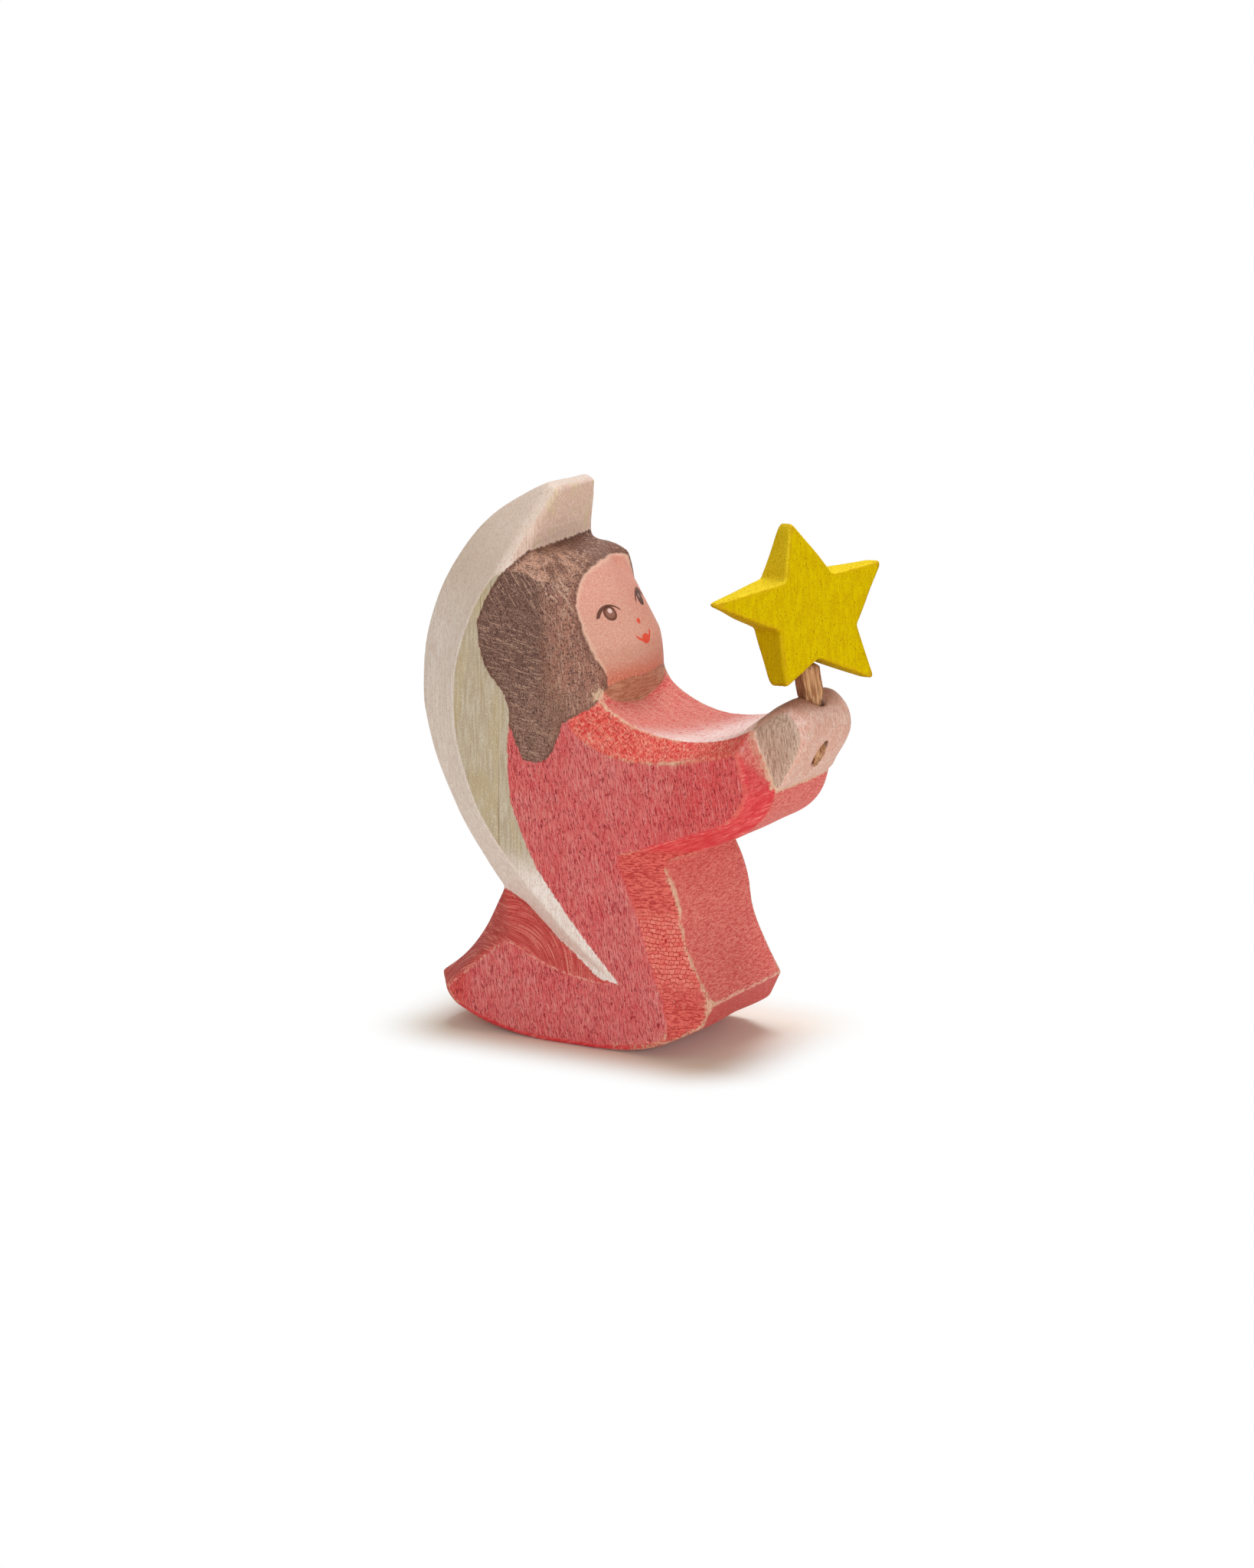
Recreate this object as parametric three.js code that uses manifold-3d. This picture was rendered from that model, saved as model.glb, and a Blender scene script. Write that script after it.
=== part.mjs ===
// A kneeling wooden angel that holds up a star on a stick: one carved block, a stick and a star.
// Millimetres, +Z up. The figure faces +X, its middle plane is y = 0, and the origin is the
// middle of the flat that it rests on. Outline points are [x, z] in the plane of the board.
import * as THREE from "three";
import { mergeVertices } from "three/addons/utils/BufferGeometryUtils.js";
import Module from "manifold-3d";

// Board that the figure is sawn from, and the curved underside
const boardThickness = 26;
const soleLength = 10;
const soleRadius = 30;
const soleChamfer = 0.6;
const toeReach = 23.3;
const toeHeight = 8.8;
const heelReach = 23.4;
const heelHeight = 7.2;
const instepReach = 16.3;
const archReach = 19;

// Wing: its outer edge and the ridge of its bevel are two arcs, and its tail narrows to a tip
const wingRadius = 34.1;
const wingRidgeRadius = 32.2;
const wingEdge = 11.2;
const crestHeight = 82;
const crestDepth = 4;
const crestSlant = 1;
const crestSag = 0.4;
const wingReach = 28;
const wingRoot = [-13.8, 20.8];
const wingRootWidth = 14;
const wingTip = [9, 10.4];

// Hands: where the stick goes in, the rounded block that the hands are, and the cuffs round it.
// Their points are measured from where the stick goes in.
const gripReach = 33.2;
const gripHeight = 54.7;
const handWidth = 16;
const handRound = 3.4;
const handReach = 12;
const handMiddle = [-1.5, -12.5];
const handFront = [[-0.5, -13.3], [0.9, -11], [2.7, -7.9], [3.5, -5.3], [2.8, -2.6], [0.2, -0.6]];
const handBack = [[-2.2, -1.6], [-4.6, -3.4], [-9, -7.5], [-6, -14]];
const cuffWidth = 17;
const cuffLow = [-1, -13.4];
const cuffLowRidge = [-3.2, -13];
const cuffTop = [-4.9, -4.8];
const cuffTopRidge = [-4.8, -7.2];
const cuffSag = -1.2;

// Stick: a square shaft, whittled round at both ends. Its lower end is cut at a slant, level with
// the front of the hands.
const stickSide = 3;
const pegDiameter = 2.2;
const pegLength = 9.6;
const pegSlant = 40;
const whittleLength = 2.6;
const stickLean = 10;
const fitClearance = 0.3;

// Star, sawn by eye: where its tips and notches are, seen from the front. Behind, it is rounded off
// from the dome's start to the thickness of its longest tip.
const starHeight = 11.3;
const starThickness = 9.2;
const starTipThickness = 1.7;
const starDomeStart = 6.2;
const starTipRadii = [13.6, 13.8, 16.2, 11.6, 14.2];
const starTipDegrees = [24, 95, 165, 240, 307];
const starNotchRadii = [6.8, 6.2, 5.6, 6.6, 7.6];
const starNotchDegrees = [50, 122, 196, 272, 337];
const starSoftness = 0.7;
const starBlunting = 0.12;
const starTurn = 35;
const lowerNotchSlope = 0.7;
const tenonLength = 6;

// How far a plain ridge bows, as a line cut by hand does, numbers of facets, and how far in the
// middle facets of a soft block begin
const ridgeBow = 0.15;
const rimSteps = 12;
const roundSides = 24;
const handSides = 36;
const softSteps = 3;
const innerShare = 0.6;

const halfBoard = boardThickness / 2;
const gripPoint = [gripReach, gripHeight];
const radians = THREE.MathUtils.degToRad;

const wasm = await Module();
wasm.setup();

// Closed three.js geometry to a solid, and back

function toSolid(geometry) {
  const bare = geometry.clone();
  bare.deleteAttribute("normal");
  bare.deleteAttribute("uv");
  const merged = mergeVertices(bare, 1e-4);
  return new wasm.Manifold(
    new wasm.Mesh({
      numProp: 3,
      vertProperties: merged.attributes.position.array,
      triVerts: new Uint32Array(merged.index.array),
    }),
  );
}

function toGeometry(solid) {
  const mesh = solid.getMesh();
  const geometry = new THREE.BufferGeometry();
  geometry.setAttribute("position", new THREE.BufferAttribute(mesh.vertProperties, 3));
  geometry.setIndex(new THREE.BufferAttribute(mesh.triVerts, 1));
  geometry.computeVertexNormals();
  return geometry;
}

// Rings of points along an axis, joined into one closed skin
function loft(rings) {
  const count = rings[0].length;
  const positions = [];
  const add = (...points) => points.forEach((p) => positions.push(...p));
  const middle = (ring) => [0, 1, 2].map((k) => ring.reduce((sum, p) => sum + p[k], 0) / count);
  const [bottom, top] = [rings[0], rings.at(-1)];
  for (let k = 0; k < count; k++) {
    const n = (k + 1) % count;
    for (let r = 0; r + 1 < rings.length; r++) {
      add(rings[r][k], rings[r][n], rings[r + 1][n]);
      add(rings[r][k], rings[r + 1][n], rings[r + 1][k]);
    }
    add(middle(bottom), bottom[n], bottom[k]);
    add(middle(top), top[k], top[n]);
  }
  const geometry = new THREE.BufferGeometry();
  geometry.setAttribute("position", new THREE.Float32BufferAttribute(positions, 3));
  return geometry;
}

// A block with a flat outline across Z and its edges rounded in towards a middle point. dome gives how
// far the lower side is cut back at a distance from that point.
function softBlock({ outline, middle: [mx, my], reach, width, round, dome = () => 0 }) {
  const ring = (z, inset, cutBack = () => 0) => {
    const shrink = 1 - inset / reach;
    const place = ({ x, y }) => [mx + shrink * (x - mx), my + shrink * (y - my)];
    return outline.map(place).map(([x, y]) => [x, y, z + cutBack(Math.hypot(x - mx, y - my))]);
  };
  const levels = Array.from({ length: softSteps + 1 }, (_, k) => {
    const angle = (Math.PI / 2) * (k / softSteps);
    return { z: width / 2 - round * (1 - Math.sin(angle)), inset: round * (1 - Math.cos(angle)) };
  });
  return loft([
    ring(-width / 2, innerShare * reach, dome),
    ...levels.toReversed().map(({ z, inset }) => ring(-z, inset, dome)),
    ...levels.map(({ z, inset }) => ring(z, inset)),
  ]);
}

// Curves between two points of the outline

const vector = ([x, z]) => new THREE.Vector2(x, z);
const offset = ([x, z], dx, dz) => [x + dx, z + dz];
const straight = (a, b) => new THREE.LineCurve(vector(a), vector(b));

function bowed(a, b) {
  const along = vector(b).sub(vector(a)).normalize();
  const middle = vector(a).lerp(vector(b), 0.5);
  const control = [middle.x + 2 * ridgeBow * along.y, middle.y - 2 * ridgeBow * along.x];
  return new THREE.QuadraticBezierCurve(vector(a), vector(control), vector(b));
}

function bend(...controls) {
  const Curve = controls.length === 1 ? THREE.QuadraticBezierCurve : THREE.CubicBezierCurve;
  return (a, b) => new Curve(vector(a), ...controls.map(vector), vector(b));
}

// Arc of a given radius that bulges out of the figure
function arc(radius) {
  return (a, b) => {
    const half = vector(b).sub(vector(a)).multiplyScalar(0.5);
    const inward = new THREE.Vector2(-half.y, half.x).normalize();
    const depth = Math.sqrt(radius ** 2 - half.lengthSq());
    const centre = vector(a).add(half).addScaledVector(inward, depth);
    const start = vector(a).sub(centre).angle();
    const turn = 2 * Math.asin(half.length() / radius);
    return new THREE.EllipseCurve(centre.x, centre.y, radius, radius, start, start + turn);
  };
}

// Point on the underside's curve, at a distance in front of or behind the middle
function onSole(x) {
  const past = Math.max(Math.abs(x) - soleLength / 2, 0);
  return [x, soleRadius - Math.sqrt(soleRadius ** 2 - past ** 2)];
}

// The outline's corners. edge is the sawn corner, ridge the point where its bevel meets the flat
// side, cut how deep the bevel goes at the edge, crown how far the middle stands out from the
// edge, and sag how much lower the edge lies on the figure's left, since it is cut by eye.

const soleFront = [soleLength / 2, 0];
const soleBack = [-soleLength / 2, 0];
const kneeCut = 2.5;
const cuffCut = halfBoard - cuffWidth / 2;
const wingCut = halfBoard - wingEdge / 2;
const wingRootCut = halfBoard - wingRootWidth / 2;

const corner = {
  soleBack: { edge: soleBack, ridge: offset(soleBack, 0, soleChamfer), cut: soleChamfer },
  soleFront: { edge: soleFront, ridge: offset(soleFront, 0, soleChamfer), cut: soleChamfer },
  instep: { edge: onSole(instepReach), ridge: offset(onSole(instepReach), 0, soleChamfer), cut: soleChamfer },
  toeUnder: { edge: onSole(toeReach - 1.9), ridge: [17.3, 5.2], cut: kneeCut },
  toe: { edge: [toeReach, toeHeight], ridge: [16.3, 8.4], cut: kneeCut },
  shin: { edge: [18.2, 20.2], ridge: [12.4, 19.8], cut: kneeCut },
  knee: { edge: [15.2, 28.8], ridge: [8, 29.5], cut: kneeCut },
  elbow: { edge: [26, 33.5], ridge: [25.6, 35.9], cut: 4.2 },
  cuffLow: { edge: offset(gripPoint, ...cuffLow), ridge: offset(gripPoint, ...cuffLowRidge), cut: 5.4 },
  cuffTop: {
    edge: offset(gripPoint, ...cuffTop),
    ridge: offset(gripPoint, ...cuffTopRidge),
    cut: cuffCut,
    sag: cuffSag,
  },
  neck: { edge: [4.6, 51.8], ridge: [0.6, 47.8], cut: 2.6, crown: [0.5, -1.2], sag: 0.9 },
  chin: { edge: [3.6, 53.7], ridge: [1.6, 52.4], cut: 3.2, crown: [2.6, 0.3], sag: 0.6 },
  cheek: { edge: [3, 58.8], ridge: [-3, 58], cut: 3.5, crown: [3, 0] },
  brow: { edge: [-1.1, 65.7], ridge: [-3.3, 65], cut: 3.5, crown: [3, 0], sag: 0.2 },
  forehead: { edge: [-3.6, 69.2], ridge: [-4.2, 68.8], cut: 5, crown: [3.1, 0.5], sag: 1.5 },
  crown: { edge: [-8.4, 72], ridge: [-10.2, 69.7], cut: 4.1, crown: [0, 0.3], sag: 0.4 },
  crest: { edge: [-6.5, crestHeight - crestDepth], ridge: [-11.2, 69.3], cut: 6.2 },
  crestTip: { edge: [-5.2, crestHeight - crestSlant], ridge: [-11.7, 69], cut: wingCut, sag: crestSag },
  crestBack: { edge: [-6.9, crestHeight], ridge: [-12.4, 68.8], cut: wingCut, sag: crestSag },
  wingBack: { edge: [-wingReach, 46.6], ridge: [-18.8, 46.6], cut: (wingCut + wingRootCut) / 2 },
  wingRoot: { edge: wingRoot, ridge: [-10.4, 27.6], cut: wingRootCut },
  wingTip: { edge: wingTip, ridge: wingTip, cut: 0 },
  skirtBack: { edge: wingRoot, ridge: [-9, 14.7], cut: wingRootCut },
  heel: { edge: [-heelReach, heelHeight], ridge: [-20.4, 6.3], cut: 3.8 },
  heelUnder: { edge: onSole(0.8 - heelReach), ridge: [-20.3, 5.6], cut: 3.8 },
  arch: { edge: onSole(-archReach), ridge: offset(onSole(-archReach), 0, soleChamfer), cut: soleChamfer },
};

// The stretches between them, in order round the figure. groove marks a carved line on the side
// of the board, which has no sawn edge.

const onWing = arc(wingRadius);
const onRidge = arc(wingRidgeRadius);
const underSole = arc(soleRadius);
const underWing = bend([-2.5, 14]);

const stretches = [
  { from: "soleBack", to: "soleFront" },
  { from: "soleFront", to: "instep", edge: underSole, steps: 8 },
  { from: "instep", to: "toeUnder", edge: underSole, steps: 4 },
  { from: "toeUnder", to: "toe" },
  { from: "toe", to: "shin", edge: bend([18.7, 15.4]), ridge: bend([14, 14.5]), steps: 10 },
  { from: "shin", to: "knee", edge: bend([17.9, 24.6]), ridge: bend([10, 25]), steps: 8 },
  { from: "knee", to: "elbow", ridge: bend([16.5, 32.4]), steps: 8 },
  { from: "elbow", to: "cuffLow", edge: bend([31.3, 36.2]), ridge: bend([29.4, 38.2]), steps: 10 },
  { from: "cuffLow", to: "cuffTop" },
  { from: "cuffTop", to: "neck", edge: bend([23, 46.8], [12, 45.2]), ridge: bend([8, 40.6]), steps: 18 },
  { from: "neck", to: "chin", steps: 4 },
  { from: "chin", to: "cheek", edge: bend([3.7, 56.4]), ridge: bend([-2.6, 54.6]), steps: 8 },
  { from: "cheek", to: "brow", steps: 6 },
  { from: "brow", to: "forehead", steps: 4 },
  { from: "forehead", to: "crown", edge: bend([-5.2, 71.6]), ridge: bend([-7, 70.6]), steps: 8 },
  { from: "crown", to: "crest", edge: bend([-7.6, 74.6]), steps: 6 },
  { from: "crest", to: "crestTip", steps: 4 },
  { from: "crestTip", to: "crestBack", steps: 2 },
  { from: "crestBack", to: "wingBack", edge: onWing, ridge: onRidge, steps: 24 },
  { from: "wingBack", to: "wingRoot", edge: bend([-24.8, 32.2]), ridge: onRidge, steps: 16 },
  { from: "wingRoot", to: "wingTip", edge: underWing, ridge: bend([-2.5, 18.4]), steps: 16, groove: true },
  { from: "wingTip", to: "skirtBack", edge: underWing, ridge: bend([-0.5, 10]), steps: 16, groove: true },
  { from: "skirtBack", to: "heel", edge: bend([-17.4, 11.4]), ridge: bend([-12.5, 14.4]), steps: 12 },
  { from: "heel", to: "heelUnder" },
  { from: "heelUnder", to: "arch", edge: underSole, steps: 4 },
  { from: "arch", to: "soleBack", edge: underSole, ridge: bend([-11, 0.9]), steps: 8 },
];

// Sampled points of the whole outline
function stations() {
  return stretches.flatMap(({ from, to, edge = straight, ridge = bowed, steps = 1, groove = false }) => {
    const [a, b] = [corner[from], corner[to]];
    const edgeCurve = edge(a.edge, b.edge);
    const ridgeCurve = ridge(a.ridge, b.ridge);
    const crownCurve = straight(a.crown ?? [0, 0], b.crown ?? [0, 0]);
    return Array.from({ length: steps }, (_, k) => ({
      edge: edgeCurve.getPoint(k / steps),
      ridge: ridgeCurve.getPoint(k / steps),
      crown: crownCurve.getPoint(k / steps),
      half: halfBoard - THREE.MathUtils.lerp(a.cut, b.cut, k / steps),
      sag: THREE.MathUtils.lerp(a.sag ?? 0, b.sag ?? 0, k / steps),
      groove,
    }));
  });
}

// The carved board: a flat on each side, bevels from it to the edge, and the sawn edge across
function carvedBoard() {
  const positions = [];
  const triangle = (...points) => {
    const [a, b, c] = points.map(String);
    if (a !== b && b !== c && c !== a) positions.push(...points.flat());
  };
  const quad = (a, b, c, d) => {
    triangle(a, b, c);
    triangle(a, c, d);
  };
  const across = (station, j) => {
    const s = (2 * j) / rimSteps - 1;
    const out = 1 - s * s;
    const { edge, crown, half, sag } = station;
    return [edge.x + crown.x * out, s * half, edge.y + crown.y * out - (sag * (1 + s)) / 2];
  };
  const onFlat = ({ ridge }, side) => [ridge.x, side * halfBoard, ridge.y];

  const loop = stations();
  loop.forEach((here, i) => {
    const next = loop[(i + 1) % loop.length];
    quad(across(here, 0), across(next, 0), onFlat(next, -1), onFlat(here, -1));
    quad(onFlat(here, 1), onFlat(next, 1), across(next, rimSteps), across(here, rimSteps));
    if (here.groove) return;
    for (let j = 0; j < rimSteps; j++)
      quad(across(here, j), across(here, j + 1), across(next, j + 1), across(next, j));
  });

  const flats = loop.map(({ ridge }) => ridge);
  const faces = THREE.ShapeUtils.triangulateShape(flats, []);
  for (const face of faces) {
    const [a, b, c] = face.map((k) => loop[k]);
    triangle(onFlat(a, -1), onFlat(b, -1), onFlat(c, -1));
    triangle(onFlat(a, 1), onFlat(c, 1), onFlat(b, 1));
  }
  const geometry = new THREE.BufferGeometry();
  geometry.setAttribute("position", new THREE.Float32BufferAttribute(positions, 3));
  return geometry;
}

// Both hands as one block, rounded towards its sides, that comes out of the sleeves
function handBlock() {
  const corners = [...handFront, ...handBack].map(([x, z]) => new THREE.Vector3(x, z, 0));
  const outline = new THREE.CatmullRomCurve3(corners, true).getPoints(handSides).slice(1);
  const block = softBlock({
    outline,
    middle: handMiddle,
    reach: handReach,
    width: handWidth,
    round: handRound,
  });
  return block.rotateX(Math.PI / 2).translate(gripReach, 0, gripHeight);
}

// The stick's own frame: its axis leans back from the top of the hands
const grip = new THREE.Group();
grip.position.set(gripReach, 0, gripHeight);
grip.rotation.y = -radians(stickLean);
grip.updateMatrix();

const pegRadius = pegDiameter / 2;
const holeRadius = pegRadius + fitClearance;
const shaftBottom = -0.6;
const notchBelowCentre = starNotchRadii[3];
const shaftReach = stickSide / Math.SQRT2;
const shaftTop = starHeight - notchBelowCentre - fitClearance - lowerNotchSlope * shaftReach;

// Drilled hole through the hands, with a wide mouth where the square shaft begins
function gripHole() {
  const mouthRadius = shaftReach + fitClearance;
  const below = -2 * pegLength;
  const above = starHeight;
  const profile = [
    [0, below],
    [holeRadius, below],
    [holeRadius, shaftBottom - whittleLength - fitClearance],
    [mouthRadius, shaftBottom - fitClearance],
    [mouthRadius, above],
    [0, above],
  ];
  const geometry = new THREE.LatheGeometry(profile.map(vector), roundSides);
  return geometry.rotateX(Math.PI / 2).applyMatrix4(grip.matrix);
}

function figureGeometry() {
  const body = toSolid(carvedBoard()).add(toSolid(handBlock()));
  return toGeometry(body.subtract(toSolid(gripHole())));
}

function stickGeometry() {
  const angles = Array.from({ length: roundSides }, (_, k) => (2 * Math.PI * k) / roundSides);
  const ring = (reach, z) => angles.map((a) => [reach(a) * Math.cos(a), reach(a) * Math.sin(a), z]);
  const round = (z, radius = pegRadius) => ring(() => radius, z);
  const reachOfSquare = (a) => stickSide / 2 / Math.max(Math.abs(Math.cos(a)), Math.abs(Math.sin(a)));
  const square = (z) => ring(reachOfSquare, z);
  const rise = 1 / Math.tan(radians(pegSlant));
  const front = new THREE.Vector2(1, 0).rotateAround(new THREE.Vector2(), radians(starTurn));
  const slanted = round(-pegLength).map(([x, y, z]) => [x, y, z + rise * (x * front.x + y * front.y)]);
  const rings = [
    slanted,
    round(shaftBottom - whittleLength),
    square(shaftBottom),
    square(shaftTop),
    round(shaftTop),
    round(shaftTop + tenonLength),
  ];
  return toGeometry(toSolid(loft(rings)));
}

// Outline of the star's face, with blunted tips
function starOutline() {
  const middle = new THREE.Vector2();
  const polar = (radius, degrees) => new THREE.Vector2(radius, 0).rotateAround(middle, radians(degrees));
  const tips = starTipRadii.map((radius, k) => polar(radius, starTipDegrees[k]));
  const notches = starNotchRadii.map((radius, k) => polar(radius, starNotchDegrees[k]));
  const shape = new THREE.Shape().moveTo(notches.at(-1).x, notches.at(-1).y);
  tips.forEach((tip, k) => {
    const before = tip.clone().lerp(notches.at(k - 1), starBlunting);
    const after = tip.clone().lerp(notches[k], starBlunting);
    shape.lineTo(before.x, before.y);
    shape.quadraticCurveTo(tip.x, tip.y, after.x, after.y);
    shape.lineTo(notches[k].x, notches[k].y);
  });
  return shape.getPoints(softSteps).slice(1);
}

// The star in the stick's frame, facing +X, with its centre at the origin
function starGeometry() {
  const domeReach = Math.max(...starTipRadii) - starDomeStart;
  const cutBack = starThickness - starTipThickness;
  const block = softBlock({
    outline: starOutline(),
    middle: [0, 0],
    reach: notchBelowCentre,
    width: starThickness,
    round: starSoftness,
    dome: (radius) => (cutBack * Math.max(radius - starDomeStart, 0)) / domeReach,
  });
  const holeTop = shaftTop + tenonLength + fitClearance - starHeight;
  const holeLength = holeTop + starHeight;
  const hole = new THREE.CylinderGeometry(holeRadius, holeRadius, holeLength, roundSides);
  hole.translate(0, holeTop - holeLength / 2, 0);
  const drilled = toGeometry(toSolid(block).subtract(toSolid(hole)));
  const facing = new THREE.Matrix4().makeBasis(
    new THREE.Vector3(0, 1, 0),
    new THREE.Vector3(0, 0, 1),
    new THREE.Vector3(1, 0, 0),
  );
  return drilled.applyMatrix4(facing);
}

function named(name, geometry, colour, roughness) {
  const material = new THREE.MeshStandardMaterial({ color: colour, roughness, metalness: 0 });
  const mesh = new THREE.Mesh(geometry, material);
  mesh.name = name;
  return mesh;
}

const figure = named("angel_figure", figureGeometry(), 0xd4616a, 0.75);
const stick = named("star_stick", stickGeometry(), 0xb08a5e, 0.85);
const star = named("star", starGeometry(), 0xc9b018, 0.65);
stick.rotation.z = -radians(starTurn);
star.rotation.z = -radians(starTurn);
star.position.z = starHeight;
grip.add(stick, star);

const angel = new THREE.Group();
angel.add(figure, grip);

export default angel;
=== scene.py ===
"""Looks of a kneeling wooden angel that holds up a star on a stick.

Each carved piece is an even-meshed copy of its CAD solid with sanded edges and a stain made of nodes.
Lengths are in millimetres unless a comment says metres. +X is the way the angel faces, and +Z is up.
"""
import math

import bmesh
import bpy
import numpy as np
from mathutils import Matrix, Vector


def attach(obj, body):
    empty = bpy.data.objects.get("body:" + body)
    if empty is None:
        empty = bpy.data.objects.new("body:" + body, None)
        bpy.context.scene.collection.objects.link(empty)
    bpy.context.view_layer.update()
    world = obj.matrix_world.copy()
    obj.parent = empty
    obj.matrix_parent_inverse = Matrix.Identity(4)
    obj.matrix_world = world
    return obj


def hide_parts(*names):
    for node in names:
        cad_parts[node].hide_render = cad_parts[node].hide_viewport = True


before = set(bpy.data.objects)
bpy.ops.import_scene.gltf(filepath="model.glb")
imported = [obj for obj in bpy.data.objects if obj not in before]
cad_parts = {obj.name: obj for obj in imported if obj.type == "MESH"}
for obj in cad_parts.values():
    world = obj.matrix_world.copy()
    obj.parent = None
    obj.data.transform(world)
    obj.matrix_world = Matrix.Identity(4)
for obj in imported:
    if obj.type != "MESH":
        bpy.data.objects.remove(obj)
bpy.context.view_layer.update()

MM_PER_METRE = 1000

# The camera, as found from the photograph: degrees, and metres for its distance and shift of place
CAMERA_AZIMUTH = 30
CAMERA_ELEVATION = 14
CAMERA_DISTANCE = 0.88
CAMERA_RIGHT = 0.002573
CAMERA_UP = 0.03549
CAMERA_LENS = 136.28
SENSOR_WIDTH = 36

# Lamps and world: power in watts, sizes and places in metres
WORLD_LEVEL = 0.36
WORLD_COLOUR = (1, 0.89, 0.7)
FRONT_LAMP_POWER = 3.52
FRONT_LAMP_SIZE = 0.45
FRONT_LAMP_PLACE = (0.49, -0.55, 0.1)
TOP_LAMP_POWER = 2.1
TOP_LAMP_SIZE = 0.3
TOP_LAMP_PLACE = (0.0, 0.13, 0.6)
LAMP_COLOUR = (0.98, 1.02, 1.12)
LAMP_AIM = (0, 0, 0.03)

# The paper on the floor, with its radius in metres. The shadow on it fades to white between two
# distances from the box that the figure stands in, which has a middle and a half size in X and Y
FLOOR_RADIUS = 2.5
FLOOR_SIDES = 96
PAPER_COLOUR = (0.94, 0.9, 0.8, 1)
PAPER_GLOW = 0.01
SHADOW_NEAR = 2
SHADOW_FAR = 16
BASE_MIDDLE = (1.5, 0)
BASE_HALF = (19, 11)
WHITE = (1, 1, 1, 1)

# Mesh spacing, rounds of sanding, and the length, height and seed of the unevenness
FIGURE_NAME = "carved_figure"
FIGURE_VOXEL = 0.28
STAR_VOXEL = 0.2
STICK_VOXEL = 0.14
FIGURE_SANDING = 7
STAR_SANDING = 6
STICK_SANDING = 4
FIGURE_WAVES = (11, 0.07, 5)
STAR_WAVES = (7, 0.06, 6)
STICK_WAVES = (3, 0.03, 7)
WAVE_COUNT = 8
WELD_DISTANCE = 0.001

# How many neighbours away the wood is compared with itself to find its edges, and how often the
# stored edges and directions are smoothed
FIGURE_EDGE_REACH = 5
STAR_EDGE_REACH = 14
EDGE_ROUNDS = 2
DIRECTION_ROUNDS = 3

# Where the figure is rounded further: the top of the crest and the hollow behind the skirt
SOFT_SANDING = 30
CREST_SOFTNESS = 0.7
CREST_SOFT_HEIGHTS = (77.5, 80)
HOLLOW_SOFT_PLACES = (-11, -8)
HOLLOW_SOFT_HEIGHTS = (7, 10, 15, 18)

# Paint outlines on the flat side of the figure, as (x, z)
WING_FRONT_EDGE = [
    (-8.4, 72.3), (-9.8, 70.3), (-11.8, 67.8), (-13.7, 64.4), (-14.8, 61.5), (-14.4, 58.1), (-13.4, 55.4),
    (-11.9, 53.5), (-10.2, 51.7), (-9.3, 49), (-9.6, 44.4), (-9.6, 39.8), (-9, 35.3), (-7.7, 32),
    (-6.1, 28.7), (-4.9, 26.4), (-2.7, 23.4), (0.3, 19.8), (4.2, 15.5), (9.1, 10.5),
]
WING_LOWER_EDGE = [(5.6, 10.8), (-2.2, 14.9), (-8.7, 19.6), (-13.8, 20.8)]
ROUND_THE_WING = [(-40, 20.8), (-40, 95), (40, 95), (40, 72.3)]
HAIR_BACK_EDGE = WING_FRONT_EDGE[:10]
HAIR_UNDER_WING = 1.5
HAIR_LOWER_EDGE = [
    (-8.9, 46.2), (-8, 44), (-7, 42.1), (-4.8, 41.9), (-3.2, 42.5), (-1.9, 44.2), (-0.9, 46.6), (-0.3, 48.4),
    (3, 50.4), (4.3, 51.6), (4.2, 52.8),
]
ROUND_THE_HEAD = [(14, 53.4), (14, 76), (-8.4, 76)]

# Paint outlines on the front of the head, as (distance from the middle, z). On the far side the
# hairline is wider: distances there count by a share that changes with height
HAIRLINE = [
    (-5, 69.9), (0, 69.9), (2.7, 69.6), (4.7, 68.9), (5.7, 68.3), (7.9, 66.3), (9, 64.9), (9.4, 63.2),
    (9.7, 61), (9.7, 59.3), (9.6, 57.7), (8.6, 55.8), (8.2, 54.8),
]
CHIN_LINE = [(8.2, 53.2), (6.3, 53.9), (4, 54.1), (1.3, 53.9), (-5, 53.9)]
COLLAR_LINE = [(-5, 49.9), (0, 49.9), (2.3, 50.1), (5, 50.5), (7.3, 51.2), (9.1, 52.6)]
FAR_HAIRLINE_HEIGHTS = (62, 64, 65.7, 67, 68.4, 69.9)
FAR_HAIRLINE_SHARES = (0.95, 0.88, 0.72, 0.59, 0.46, 0.5)
FACE_BACK = -5.2
NECK_BACK = 3
COLLAR_CORNER = (4.2, 10, 52.5)
COLLAR_CORNER_RADIUS = 1

# The cuff is a plane across the arm: a point on it and its direction, as (x, z)
CUFF_POINT = (28.3, 49.9)
CUFF_DIRECTION = (0.911, 0.413)
CUFF_LINE_HEIGHTS = (47, 42)
ARM_START = 25

# Zones of the dress. A zone is a list of fades: a coordinate or a number that the mesh keeps, the
# value where the zone begins and the value from which it is full. Aside is the distance from the middle
BEVELS = [("flatness", 0.2, 0.4), ("flatness", 0.985, 0.93)]
RIM = [("flatness", 0.38, 0.2)]
ARM_TOP = [("aside", 8.2, 7.4), ("x", 20, 23), ("z", 44, 46)]
KNEE_STRIP = [("x", 5, 7), ("z", 32, 30), ("z", 1, 2)]
KNEE_TOP = [("z", 20.5, 23)]
KNEE_FOOT = [("z", 12.5, 9)]
LOWER_BACK = [("x", 8, 4), ("z", 24, 22), ("z", 3, 5)]
HOLLOW_SLOPES = [("flatness", 0.985, 0.93), ("flatness", 0.08, 0.25)]
HOLLOW_BRIM = [("flatness", 0.9, 0.95), ("flatness", 0.99, 0.97)]
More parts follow.
